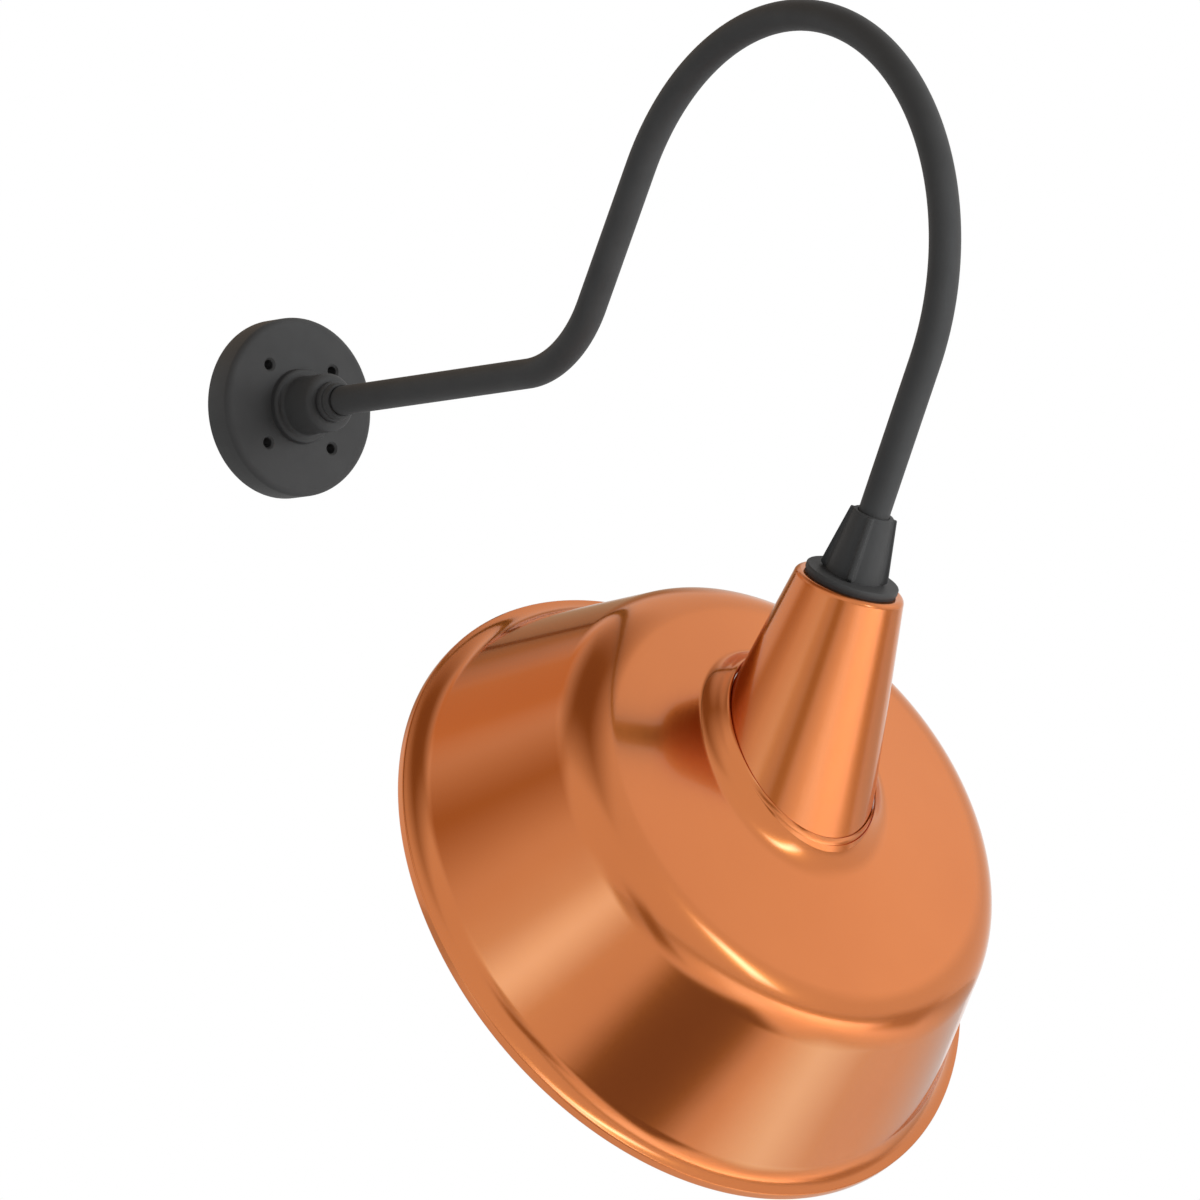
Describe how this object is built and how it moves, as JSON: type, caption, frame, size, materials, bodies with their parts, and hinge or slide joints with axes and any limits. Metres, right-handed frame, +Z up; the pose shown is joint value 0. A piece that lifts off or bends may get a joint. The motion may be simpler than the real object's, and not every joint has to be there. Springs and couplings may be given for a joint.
{
  "type": "barn light",
  "caption": "Gooseneck wall light: round cast wall plate, bent pipe arm, ribbed hub and an angled copper shade on a tapered copper neck, with lampholder and lamp inside.",
  "frame": {"origin": "centre of the wall plate's back face, on the wall", "axes": "+X out of the wall along the arm's first run, +Z up, the bent arm lies in the plane Y = 0"},
  "size_m": [0.748, 0.459, 0.8047],
  "materials": {
    "black_coat": "matte",
    "copper_sheet": "satin",
    "plate_seal": "matte",
    "flange_seal": "matte",
    "earth_green": "satin",
    "set_screw_steel": "satin",
    "lead_jacket": "matte",
    "connector_plastic": "matte",
    "zinc_steel": "satin",
    "porcelain": "gloss",
    "contact_brass": "satin",
    "cap_aluminium": "satin",
    "insulator_black": "gloss",
    "clear_glass": "gloss",
    "support_wire": "satin"
  },
  "bodies": {
    "wall_mount": {"wall_plate": "black_coat", "wall_gasket": "plate_seal", "ground_screw": "earth_green", "hub_set_screw": "set_screw_steel", "arm_ferrule": "black_coat", "wall_leads": "lead_jacket", "wire_connectors": "connector_plastic"},
    "arm": {"gooseneck_arm": "black_coat", "arm_lead": "lead_jacket"},
    "head": {"shade_hub": "black_coat", "hub_gasket": "flange_seal", "shade_set_screw": "set_screw_steel", "hub_locknut": "zinc_steel", "shade_neck": "copper_sheet", "shade": "copper_sheet", "socket_yoke": "zinc_steel", "yoke_screws": "zinc_steel", "lampholder": "porcelain", "screw_shell": "contact_brass", "centre_contact": "contact_brass", "terminals": "contact_brass", "terminal_screws": "contact_brass", "socket_leads": "lead_jacket"},
    "bulb": {"bulb_cap": "cap_aluminium", "bulb_insulator": "insulator_black", "bulb_tip": "contact_brass", "bulb_glass": "clear_glass", "bulb_stem": "clear_glass", "bulb_filament": "support_wire"}
  },
  "joints": [
    {"name": "arm_swivel", "type": "hinge", "parent": "wall_mount", "child": "arm", "pos_m": [0, 0, 0], "axis": [1, 0, 0], "range_deg": [-90, 90]},
    {"name": "shade_swivel", "type": "hinge", "parent": "arm", "child": "head", "pos_m": [0.64531, 0, -0.1704], "axis": [0.4617, 0, 0.887], "range_deg": [-170, 170]},
    {"name": "bulb_removal", "type": "slide", "parent": "head", "child": "bulb", "axis": [-0.4617, 0, -0.887], "range_m": [0, 0.12]}
  ]
}
